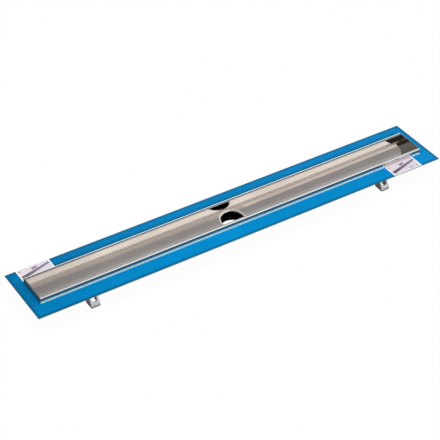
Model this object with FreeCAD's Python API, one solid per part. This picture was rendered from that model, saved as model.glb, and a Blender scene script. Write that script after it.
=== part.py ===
"""Linear shower channel body, open at the top, without its grate.

A stainless trough with a rim folded in an inverted U stands in a wide
horizontal flange. The floor falls along the channel and across it to a drawn
round outlet with a spigot. Blue film covers the flange, two labels lie on the
film, and four folded feet carry the body.

Frame: millimetres, +Z up, +X along the channel, -Y the front. The origin is
the middle of the part on the surface that the feet stand on.
"""

import FreeCAD, Part
import math
import os
from FreeCAD import Vector

# ---- Driving dimensions -------------------------------------------------

SHEET = 1.5                 # stainless sheet, everywhere

FLANGE_LENGTH = 1000.0
FLANGE_MARGIN_SIDE = 39.0   # flange outside the rim, along the channel
FLANGE_MARGIN_END = 24.0    # flange outside the end plates
FLANGE_HEIGHT = 45.0        # top of the flange above the floor it stands on

CHANNEL_WIDTH = 75.0        # over the outside of the rim
RIM_HEIGHT = 12.5           # rim above the flange
RIM_WIDTH = 6.0             # over the two walls of the folded rim
RIM_FLAT = 0.4              # flat stretch between the two bends of the rim's top
FLANGE_BEND = 2.0           # inside radius where the flange turns up into the rim

FLOOR_BEND = 3.5            # inside radius between a wall and the floor
WALL_DEPTH = 6.8            # floor below the flange, at a wall and at an end
LENGTH_FALL = 1.8           # floor, from an end down to the landing
CROSS_FALL = 3.6            # floor, from a wall down to the middle line
MIDDLE_BEND = 60.0          # inside radius where the two floor slopes meet
LANDING_LENGTH = 84.0       # level stretch of floor around the outlet

OUTLET_RADIUS = 25.0        # bore of the collar
COLLAR_LIP = 3.5            # radius from the floor into the collar
COLLAR_DEPTH = 10.0         # collar below the middle line of the floor
SPIGOT_OVERLAP = 5.0        # spigot around the outside of the collar
SPIGOT_DROP = 14.7          # spigot below the end of the collar
SPIGOT_CHAMFER = 0.4

FILM = 0.15                 # protective film on the flange
BARE_STRIP = 0.5            # bare flat steel between the rim's bend and the films
LABEL = 0.1
LABEL_LENGTH = 76.0
LABEL_GAP = 0.1             # between a label and the rim's bend
LABEL_FRONT_FROM_END = 85.5 # middle of the front label from the right end
LABEL_BACK_FROM_END = 62.0  # middle of the back label from the left end

FOOT_FROM_END = 134.0       # middle of each foot from its end of the flange
FOOT_WIDTH = 21.0
FOOT_BEND = 1.0
TOE_FROM_EDGE = 15.9        # toe on the floor, in from the edge of the flange
TOE_HEIGHT = 8.7
TOE_LEAN = 2.3              # how far the toe leans out over its height
LEG_LEAN = 30.0             # leg from the vertical, in degrees
TAB_LENGTH = 15.0           # tab under the flange
CHEEK_REAR_GAP = 3.0        # between the trough wall and a foot's cheek
CHEEK_DROP = 7.5            # top corner of a cheek below the flange
WINDOW_WIDTH = 12.0
WINDOW_HEIGHT = 18.0
WINDOW_ABOVE_TOE = 3.0
WINDOW_CORNER = 3.0

# ---- Worked out from them -----------------------------------------------

FLANGE_WIDTH = CHANNEL_WIDTH + 2 * FLANGE_MARGIN_SIDE
FLANGE_UNDER = FLANGE_HEIGHT - SHEET
RIM_TOP = FLANGE_HEIGHT + RIM_HEIGHT
RIM_OUTER = CHANNEL_WIDTH / 2
RIM_INNER = RIM_OUTER - RIM_WIDTH
TROUGH_OUTER = RIM_INNER + SHEET
RIM_BEND = (RIM_WIDTH - RIM_FLAT) / 2 - SHEET
FLANGE_START = RIM_OUTER + FLANGE_BEND
PLATE_OUTER = FLANGE_LENGTH / 2 - FLANGE_MARGIN_END
PLATE_INNER = PLATE_OUTER - SHEET
FLOOR_AT_END = FLANGE_HEIGHT - WALL_DEPTH
MIDDLE_AT_END = FLOOR_AT_END - CROSS_FALL
MIDDLE_AT_LANDING = MIDDLE_AT_END - LENGTH_FALL
COLLAR_END = MIDDLE_AT_LANDING - COLLAR_DEPTH
FILM_TOP = FLANGE_HEIGHT + FILM
FOOT_X = FLANGE_LENGTH / 2 - FOOT_FROM_END
FOOT_TOE = FLANGE_WIDTH / 2 - TOE_FROM_EDGE
LABEL_FRONT_X = FLANGE_LENGTH / 2 - LABEL_FRONT_FROM_END
LABEL_BACK_X = LABEL_BACK_FROM_END - FLANGE_LENGTH / 2
SEAM_LOW = FLANGE_HEIGHT + RIM_HEIGHT / 4     # rim and trough overlap in their
SEAM_HIGH = FLANGE_HEIGHT + RIM_HEIGHT / 2    # common wall between these heights
NEAR = 0.01                                   # tolerance for picking edges


# ---- Folded sheet -------------------------------------------------------

def unit(start, end):
    """Direction from one 2-D point to another."""
    du, dv = end[0] - start[0], end[1] - start[1]
    length = math.hypot(du, dv)
    return du / length, dv / length


def offset_path(path, distance):
    """The path moved sideways, to the left of its direction, mitred at its corners."""
    moved = []
    for i, (u, v) in enumerate(path):
        before = unit(path[i - 1], path[i]) if i > 0 else unit(path[i], path[i + 1])
        after = unit(path[i], path[i + 1]) if i < len(path) - 1 else before
        nu, nv = -before[1] - after[1], before[0] + after[0]
        scale = distance / (1 + before[0] * after[0] + before[1] * after[1])
        moved.append((u + nu * scale, v + nv * scale))
    return moved


def line(start, end):
    """Straight edge between two points (y, z) at x = 0."""
    return Part.LineSegment(Vector(0, *start), Vector(0, *end)).toShape()


def add_line(edges, start, end):
    """Adds a straight edge, unless its two ends fall together."""
    if math.dist(start, end) > NEAR:
        edges.append(line(start, end))


def rounded_edges(path, radii):
    """Lines and tangent arcs along a path of points (y, z), as edges at x = 0."""
    edges = []
    start = path[0]
    for before_point, corner, after_point, radius in zip(path, path[1:], path[2:], radii[1:]):
        if radius == 0:
            add_line(edges, start, corner)
            start = corner
            continue
        before = unit(before_point, corner)
        after = unit(corner, after_point)
        turn = math.acos(before[0] * after[0] + before[1] * after[1])
        reach = radius * math.tan(turn / 2)
        bulge = radius / math.cos(turn / 2) - radius
        inwards = unit(before, after)
        arc_in = (corner[0] - before[0] * reach, corner[1] - before[1] * reach)
        arc_out = (corner[0] + after[0] * reach, corner[1] + after[1] * reach)
        middle = (corner[0] + inwards[0] * bulge, corner[1] + inwards[1] * bulge)
        add_line(edges, start, arc_in)
        points = [Vector(0, *p) for p in (arc_in, middle, arc_out)]
        edges.append(Part.Arc(*points).toShape())
        start = arc_out
    add_line(edges, start, path[-1])
    return edges


def folded_section(path, bends, thickness=SHEET):
    """Section of a folded sheet at x = 0. The path is its right-hand face; the
    sheet lies to the left of it. bends gives the inside radius of each corner."""
    far_path = offset_path(path, thickness)
    near_radii, far_radii = [0.0] * len(path), [0.0] * len(path)
    for i, bend in zip(range(1, len(path) - 1), bends):
        before = unit(path[i - 1], path[i])
        after = unit(path[i], path[i + 1])
        turns_left = before[0] * after[1] - before[1] * after[0] > 0
        near_radii[i] = bend + (thickness if turns_left else 0)
        far_radii[i] = bend + (0 if turns_left else thickness)
    near = rounded_edges(path, near_radii)
    far = rounded_edges(far_path, far_radii)
    caps = [line(path[end], far_path[end]) for end in (0, -1)]
    return Part.Face(Part.Wire(Part.__sortEdges__(near + far + caps)))


def outline_face(points, radii=None):
    """Face at x = 0 inside a closed outline of points (y, z), some of them rounded."""
    closed = points + points[:1]
    edges = rounded_edges(closed, radii or [0.0] * len(closed))
    return Part.Face(Part.Wire(Part.__sortEdges__(edges)))


def prism(face, x_from, x_to, rise=0.0):
    """A section at x = 0 run from one x to another, rising on the way."""
    moved = face.copy()
    moved.translate(Vector(x_from, 0, 0))
    return moved.extrude(Vector(x_to - x_from, 0, rise))


def slab(x_range, y_range, z_range):
    """A block between three pairs of limits."""
    size = [abs(b - a) for a, b in (x_range, y_range, z_range)]
    low = Vector(min(x_range), min(y_range), min(z_range))
    return Part.makeBox(*size, low)


def mirrored(shape, across):
    """A copy on the other side of the plane through the origin."""
    return shape.mirror(Vector(0, 0, 0), across)


def joined(shapes):
    """One solid from touching pieces, with the seams between them gone."""
    return shapes[0].fuse(shapes[1:]).removeSplitter()


# ---- Channel ------------------------------------------------------------

def rim_section():
    """Flange edge, outer wall, rim top and inner wall, on the +Y side."""
    flange_mid = RIM_OUTER + FLANGE_MARGIN_SIDE / 2
    path = [
        (flange_mid, FLANGE_HEIGHT),
        (RIM_OUTER, FLANGE_HEIGHT),
        (RIM_OUTER, RIM_TOP),
        (RIM_INNER, RIM_TOP),
        (RIM_INNER, SEAM_LOW),
    ]
    return folded_section(path, [FLANGE_BEND, RIM_BEND, RIM_BEND])


def trough_path():
    """Wetted side at the landing: down one wall, over the floor and up the other."""
    wall_z = MIDDLE_AT_LANDING + CROSS_FALL
    return [
        (-RIM_INNER, SEAM_HIGH),
        (-RIM_INNER, wall_z),
        (0.0, MIDDLE_AT_LANDING),
        (RIM_INNER, wall_z),
        (RIM_INNER, SEAM_HIGH),
    ]


def trough_section():
    """Sheet of both inner walls and the floor, at the landing."""
    bends = [FLOOR_BEND, MIDDLE_BEND, FLOOR_BEND]
    return folded_section(trough_path()[::-1], bends)


def trough_space():
    """The open space in the trough, above the sheet, at the landing."""
    radii = [0.0, FLOOR_BEND, MIDDLE_BEND, FLOOR_BEND, 0.0]
    return outline_face(trough_path(), radii)


def lip_edges(solid, radius, reach):
    """Edges round the outlet's axis at one radius, near the landing's floor."""
    found = []
    for edge in solid.Edges:
        points = edge.discretize(5)
        off = [abs(math.hypot(p.x, p.y) - radius) for p in points]
        low = min(p.z for p in points)
        if max(off) < NEAR and low > MIDDLE_AT_LANDING - reach:
            found.append(edge)
    return found


def channel_profile():
    """The long folded sheet: side flanges, rims, walls, floor and drawn collar."""
    landing = LANDING_LENGTH / 2
    level = trough_section()
    pieces = [prism(level, -landing, landing)]
    for side in (-1, 1):
        pieces.append(prism(level, side * landing, side * PLATE_INNER, LENGTH_FALL))
    rim = prism(rim_section(), -PLATE_INNER, PLATE_INNER)
    half = FLANGE_LENGTH / 2
    edge = FLANGE_WIDTH / 2
    flange = slab((-half, half), (FLANGE_START, edge), (FLANGE_UNDER, FLANGE_HEIGHT))
    for piece in (rim, flange):
        pieces.append(piece)
        pieces.append(mirrored(piece, Vector(0, 1, 0)))
    body = joined(pieces)

    base = Vector(0, 0, COLLAR_END)
    height = RIM_TOP - COLLAR_END
    space = prism(trough_space(), -landing, landing)
    collar = Part.makeCylinder(OUTLET_RADIUS + SHEET, height, base).cut(space)
    collar = collar.common(slab((-landing, landing), (-RIM_INNER, RIM_INNER), (0, FLANGE_HEIGHT)))
    body = joined([body, collar]).cut(Part.makeCylinder(OUTLET_RADIUS, height, base))
    body = body.makeFillet(COLLAR_LIP, lip_edges(body, OUTLET_RADIUS, SHEET))
    under = lip_edges(body, OUTLET_RADIUS + SHEET, 2 * SHEET)
    return body.makeFillet(COLLAR_LIP - SHEET, under)


def end_plate():
    """Flat plate that closes the rim and the trough, at the +X end."""
    half = [
        (TROUGH_OUTER, FLOOR_AT_END - SHEET),
        (TROUGH_OUTER, FLANGE_UNDER),
        (FLANGE_START, FLANGE_UNDER),
        (FLANGE_START, FLANGE_HEIGHT),
        (RIM_OUTER, FLANGE_HEIGHT),
        (RIM_OUTER, RIM_TOP),
    ]
    other_half = [(-y, z) for y, z in half[::-1]]
    outline = [(0.0, MIDDLE_AT_END - SHEET)] + half + other_half
    rounding = {(RIM_OUTER, RIM_TOP): RIM_BEND + SHEET, (RIM_OUTER, FLANGE_HEIGHT): FLANGE_BEND}
    radii = [rounding.get((abs(y), z), 0.0) for y, z in outline]
    return prism(outline_face(outline, radii), PLATE_INNER, PLATE_OUTER)


def end_flange():
    """Flat strip of flange outside the end plate, at the +X end."""
    return slab(
        (PLATE_OUTER, FLANGE_LENGTH / 2),
        (-FLANGE_START, FLANGE_START),
        (FLANGE_UNDER, FLANGE_HEIGHT),
    )


def outlet_spigot():
    """Round tube around the drawn collar, which carries it on down to the trap."""
    top = COLLAR_END + SPIGOT_OVERLAP
    bottom = COLLAR_END - SPIGOT_DROP
    base = Vector(0, 0, bottom)
    inside = OUTLET_RADIUS + SHEET
    tube = Part.makeCylinder(inside + SHEET, top - bottom, base)
    tube = tube.cut(Part.makeCylinder(inside, top - bottom, base))
    rims = [edge for edge in tube.Edges if edge.BoundBox.ZMax < bottom + NEAR]
    return tube.makeChamfer(SPIGOT_CHAMFER, rims)


# ---- Film and labels ----------------------------------------------------

def side_film():
    """Film on the back flange, over its whole length."""
    half = FLANGE_LENGTH / 2
    inner = FLANGE_START + BARE_STRIP
    return slab((-half, half), (inner, FLANGE_WIDTH / 2), (FLANGE_HEIGHT, FILM_TOP))


def end_film():
    """Film on the right end of the flange, between the side films."""
    inner = FLANGE_START + BARE_STRIP
    x_range = (PLATE_OUTER, FLANGE_LENGTH / 2)
    return slab(x_range, (-inner, inner), (FLANGE_HEIGHT, FILM_TOP))


def label(middle_x):
    """Label across the back flange, stuck on the film."""
    x_range = (middle_x - LABEL_LENGTH / 2, middle_x + LABEL_LENGTH / 2)
    y_range = (FLANGE_START + LABEL_GAP, FLANGE_WIDTH / 2)
    return slab(x_range, y_range, (FILM_TOP, FILM_TOP + LABEL))


# ---- Feet ---------------------------------------------------------------

def leg_path():
    """Lower face of the tab, then the front of the leg and of the toe."""
    toe_top = FOOT_TOE - TOE_LEAN
    tab_under = FLANGE_UNDER - SHEET
    slope = math.tan(math.radians(LEG_LEAN))
    leg_top = toe_top - (tab_under - TOE_HEIGHT) * slope
    return [
        (leg_top + TAB_LENGTH, tab_under),
        (leg_top, tab_under),
        (toe_top, TOE_HEIGHT),
        (FOOT_TOE, 0.0),
    ]


def front_corners(body, front_top):
    """Edges down both sides of a foot's front, where the cheeks fold back."""
    found = []
    for edge in body.Edges:
        box = edge.BoundBox
        at_side = abs(abs(box.Center.x) - FOOT_WIDTH / 2) < NEAR and box.XLength < NEAR
        if at_side and box.YMin > front_top - NEAR:
            found.append(edge)
    return found


def foot():
    """Folded foot at the middle of the back side: tab, windowed leg, toe, cheeks."""
    path = leg_path()
    half = FOOT_WIDTH / 2
    toe_top, toe = path[2], path[3]
    below = unit(toe_top, toe)
    path[3] = (toe[0] + below[0] * SHEET, toe[1] + below[1] * SHEET)
    leg = prism(folded_section(path[::-1], [FOOT_BEND] * 2), -half, half)

    slope = math.tan(math.radians(LEG_LEAN))
    rear = TROUGH_OUTER + CHEEK_REAR_GAP
    rear_top = FLANGE_UNDER - CHEEK_DROP
    front_top = toe_top[0] - (rear_top - toe_top[1]) * slope
    outline = [toe, toe_top, (front_top, rear_top), (rear, rear_top), (rear, 0.0)]
    rounding = [0.0, FOOT_BEND + SHEET, 0.0, 0.0, 0.0]
    cheek = prism(outline_face(outline, rounding), half - SHEET, half)
    past_toe = 2 * FOOT_TOE
    cheek_zone = slab((-half, half), (0, past_toe), (0, rear_top))
    above_zone = slab((-half, half), (0, past_toe), (rear_top, FLANGE_UNDER))
    folded = joined([leg.common(cheek_zone), cheek, mirrored(cheek, Vector(1, 0, 0))])
    folded = folded.makeFillet(FOOT_BEND, front_corners(folded, front_top))
    body = joined([folded, leg.common(above_zone)])

    low = toe_top[1] + WINDOW_ABOVE_TOE
    opening = slab(
        (-WINDOW_WIDTH / 2, WINDOW_WIDTH / 2),
        (rear, FOOT_TOE),
        (low, low + WINDOW_HEIGHT),
    )
    along = [e for e in opening.Edges if abs(e.tangentAt(e.FirstParameter).y) > 0.9]
    return body.cut(opening.makeFillet(WINDOW_CORNER, along))


# ---- The part -----------------------------------------------------------

def make_parts():
    """Every node's name and its solid."""
    to_left, to_front = Vector(1, 0, 0), Vector(0, 1, 0)
    plate, flange, film = end_plate(), end_flange(), end_film()
    nodes = {
        "channel_profile": channel_profile(),
        "end_plate_right": plate,
        "end_plate_left": mirrored(plate, to_left),
        "end_flange_right": flange,
        "end_flange_left": mirrored(flange, to_left),
        "outlet_spigot": outlet_spigot(),
        "film_back": side_film(),
        "film_front": mirrored(side_film(), to_front),
        "film_right": film,
        "film_left": mirrored(film, to_left),
        "label_back": label(LABEL_BACK_X),
        "label_front": mirrored(label(LABEL_FRONT_X), to_front),
    }
    for side, x in (("left", -FOOT_X), ("right", FOOT_X)):
        back = foot()
        back.translate(Vector(x, 0, 0))
        nodes["foot_back_" + side] = back
        nodes["foot_front_" + side] = mirrored(back, to_front)
    return nodes


def main():
    os.makedirs("parts", exist_ok=True)
    for name, shape in make_parts().items():
        solid, = shape.Solids
        solid.exportStep("parts/" + name + ".step")


main()
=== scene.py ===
"""Looks of a linear shower channel body: polished steel, blue film, labels, studio."""

import math
import bpy
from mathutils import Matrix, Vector


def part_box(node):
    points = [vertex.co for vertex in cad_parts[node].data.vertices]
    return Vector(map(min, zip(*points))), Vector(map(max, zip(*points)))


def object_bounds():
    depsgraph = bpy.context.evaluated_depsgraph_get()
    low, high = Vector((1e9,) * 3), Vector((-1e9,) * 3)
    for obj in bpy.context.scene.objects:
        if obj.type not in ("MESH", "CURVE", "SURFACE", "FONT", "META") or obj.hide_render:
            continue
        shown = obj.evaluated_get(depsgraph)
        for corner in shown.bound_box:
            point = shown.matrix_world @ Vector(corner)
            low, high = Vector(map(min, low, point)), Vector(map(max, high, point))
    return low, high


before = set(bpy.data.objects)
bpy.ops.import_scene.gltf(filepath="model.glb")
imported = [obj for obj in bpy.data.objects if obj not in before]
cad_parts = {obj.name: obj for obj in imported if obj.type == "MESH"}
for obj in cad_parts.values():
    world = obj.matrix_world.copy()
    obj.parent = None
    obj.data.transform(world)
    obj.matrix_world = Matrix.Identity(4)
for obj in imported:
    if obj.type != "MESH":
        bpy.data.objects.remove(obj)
cad_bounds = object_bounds()

MM = 0.001                  # lengths are in metres; one given in mm is times this

# ---- Camera -------------------------------------------------------------

LENS = 120.1
CAMERA_AZIMUTH = -32.31     # degrees; 0 looks along +Y
CAMERA_ELEVATION = 38.31
CAMERA_DISTANCE = 3.14
AIM = Vector((-23.0, 14.2, 0.8)) * MM      # from the middle of the object

# ---- Colours, as linear light -------------------------------------------

BLACK = (0.0, 0.0, 0.0)
STEEL = (0.66, 0.645, 0.642)
FOOT_STEEL = (0.58, 0.54, 0.545)            # feet and outlet spigot
SCRATCH_STEEL = (0.42, 0.41, 0.40)
WALL_PAINTED_SHADE = (0.34, 0.25, 0.18)             # painted shade: outer wall of the rim, outer side of the end plates
RIM_FOOT_PAINTED_SHEEN = (0.48, 0.77, 0.85)            # painted light-blue sheen on the bend where the wall meets the flange
CREASE_PAINTED_SHADOW = (0.10, 0.098, 0.095)               # painted shadow line on the inner side right under the rim's top
BEND_PAINTED_SHADE = (0.68, 0.57, 0.49)             # painted shade, warm, on the bend between the trough's wall and floor
FLANGE_EDGE_PAINTED_SHADE = (0.07, 0.11, 0.14)             # painted shade on the outer edges of the flange
LIP_PAINTED_HIGHLIGHT = (0.72, 0.65, 0.58)              # painted cream highlight on the lip round the outlet
LABEL_PAINTED_REFLECTION = (0.62, 0.56, 0.56)           # painted reflection of the label on the rim wall and foot beside it
FILM_BLUE = (0.0005, 0.235, 0.56)           # front film
FILM_BACK = (0.0005, 0.195, 0.475)          # back film
FILM_DEEP = (0.0005, 0.19, 0.46)            # end films, and pulls in all films
FILM_PAINTED_SHADE = (0.003, 0.13, 0.28)             # painted shade on outer edges and in the strip behind the rim
LABEL_COOL = (0.62, 0.59, 0.68)
LABEL_WARM = (0.70, 0.62, 0.65)
LABEL_EDGE = (0.78, 0.86, 0.96)
INK_DARK = (0.085, 0.07, 0.10)
INK_BAR = (0.16, 0.13, 0.18)
INK_MAUVE = (0.25, 0.15, 0.23)
INK_RED = (0.40, 0.14, 0.16)
INK_GREY = (0.32, 0.31, 0.38)

# ---- Parts of the bent sheet with their own finish or painted light --------

# The colour, what is added to the roughness and what is taken off the metal.
# Where two of them overlap, the later colour covers the earlier one.
# Apart from beside_bend, which is plain steel made rougher, these colours are painted
# shade, painted highlights and a painted reflection
FINISHES_AND_PAINTED_LIGHT = {
    "wall": (WALL_PAINTED_SHADE, 0.15, 0.2),
    "foot": (RIM_FOOT_PAINTED_SHEEN, 0.3, 0.5),
    "crease": (CREASE_PAINTED_SHADOW, 0.2, 0.0),
    "bend": (BEND_PAINTED_SHADE, 0.5, 0.0),
    "beside_bend": (STEEL, 0.025, 0.0),
    "edge": (FLANGE_EDGE_PAINTED_SHADE, 0.3, 0.3),
    "lip": (LIP_PAINTED_HIGHLIGHT, 0.35, 0.6),
    "label_wall": (LABEL_PAINTED_REFLECTION, 0.0, 0.0),
    "label_foot": (LABEL_PAINTED_REFLECTION, 0.0, 0.0),
}

# Where they lie, in mm. Across the channel, outwards from the rim's outer wall:
BARE_STRIP = 2.5            # bare steel between the wall and a film
WALL_START = -0.7
FOOT_SPAN = (-0.7, 1.1)
CROWN_SPAN = (-3.6, -0.8)   # the top of the rim
CREASE_END = -4.1
BEND_SPAN = (-9.4, -6.2)
BESIDE_BEND_SPAN = (-14.0, -9.4)
# in height, upwards from the top of the film:
FOOT_BOTTOM = -1.0
WALL_BOTTOM = 4.2
BEND_TOP = -1.0
# in height, upwards from the top of the rim:
WALL_TOP = -2.5
CREASE_SPAN = (-1.3, -0.1)
# along the channel, outwards from the end plate's outer face:
END_WALL_SPAN = (-0.5, 5.0)
# round the outlet, outwards from its bore, and upwards from the spigot's top:
LIP_SPAN = (1.0, 4.3)
LIP_BOTTOM = 0.5
SPIGOT_WALL = 3.0           # from the bore to the spigot's outer side
# and outwards from the edges of the flange:
EDGE_SPAN = (-0.3, -0.1)

# How softly their limits are drawn, to either side, in mm
SOFTNESS = 0.3
LIP_SOFTNESS = 0.5
LABEL_SOFTNESS = 2.0

RIM_CROWN = 10.0            # the rim's top is shaded as leaning outwards, in degrees

# ---- Steel ----------------------------------------------------------------

# Scales of noise are in lumps a metre, ranges are what the noise is cut to,
# and depths of relief are in metres
SHEET_ROUGHNESS = 0.012
PLATE_ROUGHNESS = 0.10
TUBE_ROUGHNESS = 0.16
BRACKET_ROUGHNESS = 0.2
GRAIN_SCALE, GRAIN_STRETCH, GRAIN_DEPTH = 1800.0, 0.015, 0.0000006
SMUDGE_SCALE = 22.0
SMUDGE_TONE_RANGE, SMUDGE_DARKNESS = (0.35, 0.7), 0.93
SMUDGE_ROUGH_RANGE, SMUDGE_ROUGHENS = (0.3, 0.75), 1.8
SCRATCH_SCALE, SCRATCH_STRETCH = 420.0, (0.03, 1.0, 1.0)
SCRATCH_RANGE, SCRATCH_STRENGTH = (0.66, 0.74), 0.25
WAVE_SCALE, WAVE_DEPTH = 6.0, 0.00002

# ---- Film -----------------------------------------------------------------

FILM_GLOSS = 0.02
CLOUD_SCALE, CLOUD_STRETCH = 14.0, (0.5, 1.0, 1.0)
CLOUD_RANGE, CLOUD_DARKNESS = (0.35, 0.68), 0.86
PULL_SCALE, PULL_STRETCH, PULL_DEPTH = 160.0, (0.08, 1.0, 1.0), 0.00012
PULL_TONE = (0.5, 0.8, 0.0, 0.18)           # a range of noise, and the tone's there
PULL_ROUGH = (0.3, 0.7, 0.30, 0.42)         # the same for the roughness
BLISTER_SCALE, BLISTER_RANGE, BLISTER_DEPTH = 95.0, (0.06, 0.14), 0.00005
FILM_EDGE_SPAN = (-8.5, -3.0)               # mm, outwards from the flange's edges
BEHIND_RIM = 17.0           # mm of the back film behind the rim with painted shade
BEHIND_SOFTNESS = 2.5
BEHIND_END_SOFTNESS = 1.5

# ---- Print on a label, in mm from its left front corner -------------------

BAR_MIDDLE, BAR_SIZE, BAR_ANGLE, BAR_TAPER = (38.5, 19.5), (70.0, 7.2), 15.0, 0.03
BAR_SOFTNESS = 0.8
BAR_FADE = (8.0, 45.0)      # the bar pales between these places
PILL_MIDDLE, PILL_SIZE = (38.5, 28.5), (13.0, 6.0)
MARKS = [
    ((6.5, 30.0), (5.0, 3.0), INK_RED),
    ((52.0, 8.0), (11.0, 3.0), INK_GREY),
    ((67.5, 8.0), (3.0, 3.0), INK_DARK),
]
MARK_SOFTNESS = 0.5
LABEL_BORDER = 3.0
SPECK_SCALE = 300.0
SPECK_TONE = (0.3, 0.7, 0.0, 0.08)
SPECK_ROUGH = (0.3, 0.7, 0.38, 0.5)
FIBRE_SCALE, FIBRE_DEPTH = 1500.0, 0.00001

# ---- Studio --------------------------------------------------------------

# What lies over the channel on the right: angle in degrees from the front
# horizon over the top to the back horizon, and the colour of the studio there
ARCH = [
    (0, (0.90, 0.90, 0.90)),
    (12, (0.85, 0.84, 0.83)),
    (19, (1.32, 1.62, 1.80)),
    (26, (1.32, 1.62, 1.80)),
    (28.5, (1.79, 1.64, 1.47)),
    (31, (1.79, 1.64, 1.47)),
    (33.5, (1.32, 1.62, 1.80)),
    (47, (1.32, 1.62, 1.80)),
    (53, (0.86, 0.77, 0.72)),
    (55.92, (0.84, 0.76, 0.70)),
    (56.06, (1.47, 1.30, 1.18)),
    (64, (1.40, 1.25, 1.14)),
    (74, (0.44, 0.42, 0.40)),
    (108, (0.38, 0.36, 0.345)),
    (120, (0.41, 0.385, 0.365)),
    (136.5, (0.43, 0.41, 0.395)),
    (140, (0.53, 0.505, 0.49)),
    (149, (0.55, 0.52, 0.50)),
    (153, (0.56, 0.53, 0.51)),
    (158, (2.15, 2.30, 2.36)),
    (176, (2.15, 2.30, 2.36)),
    (180, (0.96, 0.96, 0.97)),
]
# The same on the left
LEFT_ARCH = [
    (0, (0.90, 0.90, 0.90)),
    (15, (0.05, 0.045, 0.04)),
    (100, (0.08, 0.075, 0.06)),
    (125, (0.29, 0.27, 0.235)),
    (150, (0.24, 0.22, 0.195)),
    (168, (0.90, 0.90, 0.90)),
]
LEFT_EDGE = 0.12            # sideways part of the direction where the blend starts

# The light falls off towards the left end of the part. In the arch it does so with
# the sideways part of the direction, and on the films as painted shade along the part,
# in shares of half its length: two places, and the share of light lost at each of them
ARCH_FALL = (0.298, 0.345, 0.17, 0.0)
FILM_FALL_PLACES, FILM_FALL = (0.94, 0.24), (0.2, 0.0)

KEY_DIRECTION = Vector((-0.03, -0.10, 0.995))
KEY_DISTANCE = 6.0
KEY_SIZE = 1.5
KEY_POWER = 290.0
BACKGROUND = 0.985          # what the camera sees beyond the floor
FLOOR_SIZE = 40.0
FLOOR_LIT = 0.85            # the floor's colour for the light it throws back
FLOOR_GLOW = 0.965          # what the camera and mirror images see of it: a glow
FLOOR_COLOUR = 0.025        # and a little of the light on it, for the shadow

# Mirror images see a painted shadow on the floor in two places: round the outlet,
# fading over a reach from the spigot, and under the part, by a share, to its outline
OUTLET_SHADE_REACH = 0.06
UNDER_SHADE_REACH = 0.012
UNDER_SHADE = 0.85


# ---- Node helpers -------------------------------------------------------

def node(tree, kind, inputs=None, **settings):
    """A new node with its settings, and its inputs set or linked."""
    made = tree.nodes.new(kind)
    for name, value in settings.items():
        setattr(made, name, value)
    for key, value in (inputs or {}).items():
        if isinstance(value, bpy.types.NodeSocket):
            tree.links.new(value, made.inputs[key])
        else:
            made.inputs[key].default_value = value
    return made


def opaque(colour):
    """A colour with its alpha."""
    return (*colour, 1.0)


def grey(level):
    """The grey of one level."""
    return (level, level, level)


def darker(colour, share):
    """A colour times a share."""
    return tuple(share * part for part in colour)


def maths(tree, operation, *values):
    """The result of one sum on numbers or sockets."""
    inputs = dict(enumerate(values))
    return node(tree, "ShaderNodeMath", inputs, operation=operation).outputs[0]


def overlap(tree, first, second):
    """1 where both masks are 1."""
    return maths(tree, "MINIMUM", first, second)


def union(tree, first, second):
    """1 where one mask or the other is 1."""
    return maths(tree, "MAXIMUM", first, second)


def separated(tree, place):
    """The three parts of a place or direction."""
    return node(tree, "ShaderNodeSeparateXYZ", {0: place}).outputs


def mixed(tree, factor, first, second):
    """One colour turning into another as the factor goes from 0 to 1."""
    inputs = {0: factor}
    for key, colour in ((6, first), (7, second)):
        is_socket = isinstance(colour, bpy.types.NodeSocket)
        inputs[key] = colour if is_socket else opaque(colour)
    return node(tree, "ShaderNodeMix", inputs, data_type="RGBA").outputs[2]


def ranged(tree, value, low, high, to_low=0.0, to_high=1.0, smooth=False):
    """A value taken from one range to another and held inside it."""
    inputs = {0: value, 1: low, 2: high, 3: to_low, 4: to_high}
    kind = "SMOOTHSTEP" if smooth else "LINEAR"
    return node(tree, "ShaderNodeMapRange", inputs, interpolation_type=kind).outputs[0]


def noise(tree, place, scale, stretch=(1, 1, 1), detail=3.0):
    """Noise of so many lumps a metre, drawn out along the axes."""
    moved = node(tree, "ShaderNodeMapping", {"Vector": place, "Scale": stretch})
    inputs = {"Vector": moved.outputs[0], "Scale": scale, "Detail": detail}
    return node(tree, "ShaderNodeTexNoise", inputs).outputs["Fac"]


def bump(tree, height, depth, normal=None):
    """The surface's normal over a height field of so many metres."""
    inputs = {"Height": height, "Distance": depth}
    if normal:
        inputs["Normal"] = normal
    return node(tree, "ShaderNodeBump", inputs).outputs[0]


def new_surface(name):
    """A material, its tree, its shader and the object's own coordinates."""
    material = bpy.data.materials.new(name)
    material.use_nodes = True
    tree = material.node_tree
    tree.nodes.clear()
    shader = node(tree, "ShaderNodeBsdfPrincipled")
    node(tree, "ShaderNodeOutputMaterial", {"Surface": shader.outputs[0]})
    place = node(tree, "ShaderNodeTexCoord").outputs["Object"]
    return material, tree, shader, place


def feed(tree, shader, **sockets):
    """Links sockets into the shader's inputs."""
    for name, socket in sockets.items():
        tree.links.new(socket, shader.inputs[name.replace("_", " ")])


def band(tree, value, low, high, soft=SOFTNESS * MM):
    """1 while the value lies between two limits, 0 outside them."""
    above = ranged(tree, value, low - soft, low + soft)
    below = ranged(tree, value, high - soft, high + soft, 1.0, 0.0)
    return overlap(tree, above, below)


def span(start, limits):
    """Two limits in mm from a start, in metres."""
    return tuple(start + limit * MM for limit in limits)


# ---- Steel ----------------------------------------------------------------

def film_top():
    """The height of the film's top, which lies just above the flange's."""
    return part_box("film_front")[1].z


def rim_top():
    """The height of the rim's top."""
    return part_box("channel_profile")[1].z


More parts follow.
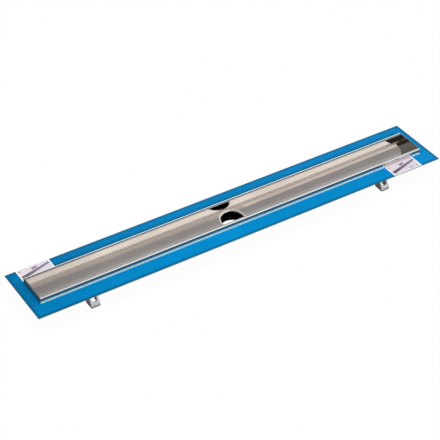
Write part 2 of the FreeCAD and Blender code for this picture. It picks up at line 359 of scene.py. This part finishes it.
def section_zones(tree, side, height):
    """Masks for the finishes and painted light that run along the channel, and the crown's
    relief.
    """
    film_low, film_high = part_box("film_front")
    film, top = film_top(), rim_top()
    outer = -film_high.y - BARE_STRIP * MM
    far = -film_low.y

    def zone(side_limits, height_limits):
        """The overlap of a stretch across the channel and one in height."""
        across = band(tree, side, *side_limits)
        return overlap(tree, across, band(tree, height, *height_limits))

    crown = span(outer, CROWN_SPAN)
    drop = (crown[1] - crown[0]) * math.tan(math.radians(RIM_CROWN))
    wall_bottom = film + WALL_BOTTOM * MM
    wall_heights = (wall_bottom, top + WALL_TOP * MM)
    foot_heights = (film + FOOT_BOTTOM * MM, wall_bottom)
    return {
        "wall": zone((outer + WALL_START * MM, far), wall_heights),
        "foot": zone(span(outer, FOOT_SPAN), foot_heights),
        "crease": zone((0.0, outer + CREASE_END * MM), span(top, CREASE_SPAN)),
        "beside_bend": zone(span(outer, BESIDE_BEND_SPAN), (0.0, film)),
        "bend": zone(span(outer, BEND_SPAN), (0.0, film + BEND_TOP * MM)),
        "crown": ranged(tree, side, *crown, 0.0, -drop),
    }


def end_wall_zone(tree, ends, height):
    """1 on the outer side of an end plate, over the end flange."""
    plate_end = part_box("end_plate_right")[1].x
    outside = band(tree, ends, *span(plate_end, END_WALL_SPAN))
    return overlap(tree, outside, band(tree, height, film_top(), rim_top()))


def label_zone(tree, along, across):
    """1 beside the front label, as far as the middle of the channel."""
    low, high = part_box("label_front")
    beside = band(tree, along, low.x, high.x, LABEL_SOFTNESS * MM)
    return overlap(tree, beside, band(tree, across, low.y, 0.0))


def lip_zone(tree, along, across, height):
    """1 on the rounded lip of the outlet."""
    flat = node(tree, "ShaderNodeCombineXYZ", {0: along, 1: across}).outputs[0]
    length = node(tree, "ShaderNodeVectorMath", {0: flat}, operation="LENGTH")
    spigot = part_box("outlet_spigot")[1]
    bore = spigot.x - SPIGOT_WALL * MM
    ring_limits = span(bore, LIP_SPAN)
    ring = band(tree, length.outputs["Value"], *ring_limits, LIP_SOFTNESS * MM)
    heights = (spigot.z + LIP_BOTTOM * MM, film_top())
    return overlap(tree, ring, band(tree, height, *heights))


def edge_zone(tree, ends, side, limits):
    """From 0 to 1 between two limits in mm, outwards from the flange's edges."""
    corner = cad_bounds[1]
    at_ends = ranged(tree, ends, *span(corner.x, limits))
    return union(tree, at_ends, ranged(tree, side, *span(corner.y, limits)))


def steel_zones(tree, place):
    """Masks for the parts of the bent sheet with their own finish or painted light."""
    along, across, height = separated(tree, place)
    side = maths(tree, "ABSOLUTE", across)
    ends = maths(tree, "ABSOLUTE", along)
    zones = section_zones(tree, side, height)
    beside = label_zone(tree, along, across)
    # painted reflection of the front label on the wall and foot beside it
    zones["label_wall"] = overlap(tree, zones["wall"], beside)
    zones["label_foot"] = overlap(tree, zones["foot"], beside)
    # the end plates' outer sides get the wall's painted shade too
    zones["wall"] = union(tree, zones["wall"], end_wall_zone(tree, ends, height))
    zones["lip"] = lip_zone(tree, along, across, height)
    zones["edge"] = edge_zone(tree, ends, side, EDGE_SPAN)
    return zones


def polished_steel(name, colour, roughness, along=0):
    """Bright cold-rolled sheet: fine grain along one axis, smudges, a slight wave."""
    material, tree, shader, place = new_surface(name)
    stretch = [1.0, 1.0, 1.0]
    stretch[along] = GRAIN_STRETCH
    grain = noise(tree, place, GRAIN_SCALE, stretch, detail=2.0)
    smudge = noise(tree, place, SMUDGE_SCALE, detail=5.0)
    scratch = noise(tree, place, SCRATCH_SCALE, SCRATCH_STRETCH, detail=1.0)
    worn = ranged(tree, scratch, *SCRATCH_RANGE)
    smudged = ranged(tree, smudge, *SMUDGE_TONE_RANGE)
    tone = mixed(tree, smudged, colour, darker(colour, SMUDGE_DARKNESS))
    scratched = maths(tree, "MULTIPLY", worn, SCRATCH_STRENGTH)
    tone = mixed(tree, scratched, tone, SCRATCH_STEEL)
    roughest = SMUDGE_ROUGHENS * roughness
    rough = ranged(tree, smudge, *SMUDGE_ROUGH_RANGE, roughness, roughest)
    rough = maths(tree, "ADD", rough, maths(tree, "MULTIPLY", worn, roughness))
    metal = 1.0
    zones = steel_zones(tree, place)
    # Over the steel go the zones' colours: painted shade, painted highlights and a painted
    # reflection
    for zone, (zone_tone, matt, painted) in FINISHES_AND_PAINTED_LIGHT.items():
        mask = zones[zone]
        tone = mixed(tree, mask, tone, zone_tone)
        rough = maths(tree, "ADD", rough, maths(tree, "MULTIPLY", mask, matt))
        metal = maths(tree, "SUBTRACT", metal, maths(tree, "MULTIPLY", mask, painted))
    normal = bump(tree, noise(tree, place, WAVE_SCALE, detail=1.0), WAVE_DEPTH)
    normal = bump(tree, grain, GRAIN_DEPTH, normal)
    normal = bump(tree, zones["crown"], 1.0, normal)
    feed(tree, shader, Base_Color=tone, Roughness=rough, Metallic=metal, Normal=normal)
    return material


# ---- Film -----------------------------------------------------------------

def painted_film_shade(tree, along, across):
    """Painted shade: 1 along the flange's outer edges and in the strip right behind the
    rim.
    """
    ends = maths(tree, "ABSOLUTE", along)
    side = maths(tree, "ABSOLUTE", across)
    edge = edge_zone(tree, ends, side, FILM_EDGE_SPAN)
    rim_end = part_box("end_plate_right")[1].x
    strip_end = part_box("film_back")[0].y + BEHIND_RIM * MM
    behind = overlap(
        tree,
        band(tree, across, 0.0, strip_end, BEHIND_SOFTNESS * MM),
        band(tree, along, -rim_end, rim_end, BEHIND_END_SOFTNESS * MM),
    )
    return union(tree, edge, behind)


def blue_film(name, colour):
    """Thin protective film: lively blue, faint pulls along its length, blisters."""
    material, tree, shader, place = new_surface(name)
    shader.inputs["Specular IOR Level"].default_value = FILM_GLOSS
    along, across, _ = separated(tree, place)
    cloud = noise(tree, place, CLOUD_SCALE, CLOUD_STRETCH, detail=4.0)
    pull = noise(tree, place, PULL_SCALE, PULL_STRETCH)
    cloudy = ranged(tree, cloud, *CLOUD_RANGE)
    tone = mixed(tree, cloudy, colour, darker(colour, CLOUD_DARKNESS))
    tone = mixed(tree, ranged(tree, pull, *PULL_TONE), tone, FILM_DEEP)
    tone = mixed(tree, painted_film_shade(tree, along, across), tone, FILM_PAINTED_SHADE)
    # painted fall-off of light towards the left end
    fall_places = [share * cad_bounds[0].x for share in FILM_FALL_PLACES]
    fall = ranged(tree, along, *fall_places, *FILM_FALL)
    tone = mixed(tree, fall, tone, BLACK)
    rough = ranged(tree, pull, *PULL_ROUGH)
    inputs = {"Vector": place, "Scale": BLISTER_SCALE}
    cell = node(tree, "ShaderNodeTexVoronoi", inputs).outputs["Distance"]
    blister = ranged(tree, cell, *BLISTER_RANGE, 1.0, 0.0, smooth=True)
    relief = bump(tree, pull, PULL_DEPTH)
    normal = bump(tree, blister, BLISTER_DEPTH, relief)
    feed(tree, shader, Base_Color=tone, Roughness=rough, Normal=normal)
    return material


# ---- Labels ---------------------------------------------------------------

def patch(tree, place, middle, size, angle=0.0, softness=MARK_SOFTNESS, taper=0.0):
    """1 inside a rectangle or wedge in the label's plane, 0 outside it.

    The middle is a place in metres, and the size and softness are in mm.
    """
    inputs = {"Vector": place, "Center": (*middle, 0.0), "Angle": -math.radians(angle)}
    turned = node(tree, "ShaderNodeVectorRotate", inputs, rotation_type="Z_AXIS")
    parts = separated(tree, turned.outputs[0])
    from_middle = maths(tree, "SUBTRACT", parts[0], middle[0])
    narrowing = maths(tree, "MULTIPLY", from_middle, taper)
    inside = []
    for part, centre, length, extra in zip(parts, middle, size, (0.0, narrowing)):
        off = maths(tree, "ABSOLUTE", maths(tree, "SUBTRACT", part, centre))
        off = maths(tree, "ADD", off, extra)
        limits = span(length * MM / 2, (-softness, softness))
        inside.append(ranged(tree, off, *limits, 1.0, 0.0))
    return overlap(tree, *inside)


def printed_label(node_name):
    """Sticker with a slanting bar, a pill and a few small marks, no words."""
    low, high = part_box(node_name)
    material, tree, shader, place = new_surface(node_name + "_print")
    across = separated(tree, place)[0]

    def at(point):
        """A place on the label, from its left front corner in mm."""
        return low.x + point[0] * MM, low.y + point[1] * MM

    tone = mixed(tree, ranged(tree, across, low.x, high.x), LABEL_WARM, LABEL_COOL)
    width, depth = (high.x - low.x) / MM, (high.y - low.y) / MM
    inner = (width - 2 * LABEL_BORDER, depth + LABEL_BORDER)
    field = patch(tree, place, at((width / 2, depth / 2)), inner)
    tone = mixed(tree, field, LABEL_EDGE, tone)
    bar_place = at(BAR_MIDDLE)
    bar = patch(tree, place, bar_place, BAR_SIZE, BAR_ANGLE, BAR_SOFTNESS, BAR_TAPER)
    fade = ranged(tree, across, *span(low.x, BAR_FADE))
    tone = mixed(tree, bar, tone, mixed(tree, fade, INK_DARK, INK_BAR))
    pill = patch(tree, place, at(PILL_MIDDLE), PILL_SIZE, BAR_ANGLE)
    tone = mixed(tree, pill, tone, INK_MAUVE)
    for point, size, ink in MARKS:
        tone = mixed(tree, patch(tree, place, at(point), size), tone, ink)
    speck = noise(tree, place, SPECK_SCALE, detail=2.0)
    tone = mixed(tree, ranged(tree, speck, *SPECK_TONE), tone, INK_GREY)
    rough = ranged(tree, speck, *SPECK_ROUGH)
    normal = bump(tree, noise(tree, place, FIBRE_SCALE), FIBRE_DEPTH)
    feed(tree, shader, Base_Color=tone, Roughness=rough, Normal=normal)
    return material


# ---- Dressing the CAD nodes ---------------------------------------------

def dress(name, material):
    """Gives a CAD node one material over its whole surface."""
    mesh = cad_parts[name].data
    mesh.materials.clear()
    mesh.materials.append(material)


def dress_all():
    """Every CAD node gets its finish."""
    sheet = polished_steel("sheet_steel", STEEL, SHEET_ROUGHNESS)
    plate = polished_steel("plate_steel", STEEL, PLATE_ROUGHNESS, along=1)
    tube = polished_steel("tube_steel", FOOT_STEEL, TUBE_ROUGHNESS, along=2)
    bracket = polished_steel("bracket_steel", FOOT_STEEL, BRACKET_ROUGHNESS)
    front_film = blue_film("front_film_blue", FILM_BLUE)
    back_film = blue_film("back_film_blue", FILM_BACK)
    end_film = blue_film("end_film_blue", FILM_DEEP)
    finishes = {
        "channel_profile": sheet,
        "end_flange": sheet,
        "end_plate": plate,
        "outlet_spigot": tube,
        "foot": bracket,
        "film_front": front_film,
        "film_back": back_film,
        "film_left": end_film,
        "film_right": end_film,
    }
    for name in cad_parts:
        if name.startswith("label"):
            dress(name, printed_label(name))
            continue
        for start, material in finishes.items():
            if name.startswith(start):
                dress(name, material)


# ---- Studio -------------------------------------------------------------

def footprint(tree, box, start, reach):
    """1 on the floor under a box, falling to 0 over a reach that starts outside it."""
    low, high = box
    parts = separated(tree, node(tree, "ShaderNodeTexCoord").outputs["Object"])
    inside = []
    for part, near, far in zip(parts, low[:2], high[:2]):
        middle = (near + far) / 2
        off = maths(tree, "ABSOLUTE", maths(tree, "SUBTRACT", part, middle))
        half = (far - near) / 2 + start
        inside.append(ranged(tree, off, half, half + reach, 1.0, 0.0, smooth=True))
    return overlap(tree, *inside)


def make_floor():
    """Wide floor: nearly white to the camera and in reflections, with its shadow.

    Only mirror images see it dark under the part and round the outlet, a painted shadow.
    """
    bpy.ops.mesh.primitive_plane_add(size=FLOOR_SIZE)
    floor = bpy.context.object
    floor.name = "studio_floor"
    material = bpy.data.materials.new("studio_floor")
    material.use_nodes = True
    tree = material.node_tree
    tree.nodes.clear()
    rays = node(tree, "ShaderNodeLightPath").outputs
    shiny = union(tree, rays["Is Glossy Ray"], rays["Is Transmission Ray"])
    seen = union(tree, rays["Is Camera Ray"], shiny)
    outlet = footprint(tree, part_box("outlet_spigot"), 0.0, OUTLET_SHADE_REACH)
    under = footprint(tree, cad_bounds, -UNDER_SHADE_REACH, UNDER_SHADE_REACH)
    # painted shadow for mirror images, under the part and round the outlet
    shaded = union(tree, outlet, maths(tree, "MULTIPLY", under, UNDER_SHADE))
    hidden = maths(tree, "MULTIPLY", shiny, shaded)
    shown = maths(tree, "SUBTRACT", 1.0, hidden)
    strength = maths(tree, "MULTIPLY", shown, FLOOR_GLOW)
    lit = node(tree, "ShaderNodeBsdfDiffuse", {"Color": opaque(grey(FLOOR_LIT))})
    shade = mixed(tree, hidden, grey(FLOOR_COLOUR), BLACK)
    dim = node(tree, "ShaderNodeBsdfDiffuse", {"Color": shade})
    glow = node(tree, "ShaderNodeEmission", {"Strength": strength})
    both = node(tree, "ShaderNodeAddShader", {0: dim.outputs[0], 1: glow.outputs[0]})
    inputs = {0: seen, 1: lit.outputs[0], 2: both.outputs[0]}
    surface = node(tree, "ShaderNodeMixShader", inputs)
    node(tree, "ShaderNodeOutputMaterial", {"Surface": surface.outputs[0]})
    floor.data.materials.append(material)


def arch(tree, angle, stops):
    """The colour at an angle over the channel, from stops in degrees."""
    light = stops[0][1]
    for (low, _), (high, colour) in zip(stops, stops[1:]):
        light = mixed(tree, ranged(tree, angle, low, high, smooth=True), light, colour)
    return light


def make_world():
    """Studio light laid out as long strips parallel to the channel."""
    world = bpy.data.worlds.new("studio")
    bpy.context.scene.world = world
    world.use_nodes = True
    tree = world.node_tree
    tree.nodes.clear()
    direction = node(tree, "ShaderNodeTexCoord").outputs["Generated"]
    sideways, away, height = separated(tree, direction)
    forward = maths(tree, "MULTIPLY", away, -1.0)
    turn = maths(tree, "ARCTAN2", height, forward)
    angle = maths(tree, "MULTIPLY", turn, math.degrees(1.0))
    fall = ranged(tree, sideways, *ARCH_FALL)
    right = mixed(tree, fall, arch(tree, angle, ARCH), BLACK)
    on_left = ranged(tree, sideways, LEFT_EDGE, -LEFT_EDGE, smooth=True)
    light = mixed(tree, on_left, right, arch(tree, angle, LEFT_ARCH))
    camera = node(tree, "ShaderNodeLightPath").outputs["Is Camera Ray"]
    light = mixed(tree, camera, light, grey(BACKGROUND))
    surface = node(tree, "ShaderNodeBackground", {"Color": light})
    node(tree, "ShaderNodeOutputWorld", {"Surface": surface.outputs[0]})


def make_key_lamp():
    """One broad soft lamp, high over the middle, which makes no glint."""
    data = bpy.data.lights.new("key_lamp", "AREA")
    data.shape = "DISK"
    data.size = KEY_SIZE
    data.energy = KEY_POWER
    lamp = bpy.data.objects.new("key_lamp", data)
    bpy.context.scene.collection.objects.link(lamp)
    lamp.location = KEY_DIRECTION * KEY_DISTANCE
    lamp.visible_glossy = False
    lamp.rotation_mode = "QUATERNION"
    lamp.rotation_quaternion = (-KEY_DIRECTION).to_track_quat("-Z", "Y")


def make_camera():
    """Camera at the viewing angle, aimed just beside the object's middle."""
    low, high = cad_bounds
    azimuth, elevation = math.radians(CAMERA_AZIMUTH), math.radians(CAMERA_ELEVATION)
    back = Vector((
        math.sin(azimuth) * math.cos(elevation),
        -math.cos(azimuth) * math.cos(elevation),
        math.sin(elevation),
    ))
    data = bpy.data.cameras.new("camera")
    data.lens = LENS
    camera = bpy.data.objects.new("camera", data)
    bpy.context.scene.collection.objects.link(camera)
    camera.location = (low + high) / 2 + AIM + back * CAMERA_DISTANCE
    camera.rotation_mode = "QUATERNION"
    camera.rotation_quaternion = (-back).to_track_quat("-Z", "Y")
    bpy.context.scene.camera = camera


make_camera()
make_world()
make_key_lamp()
make_floor()
dress_all()
bpy.context.scene.view_settings.view_transform = "Standard"
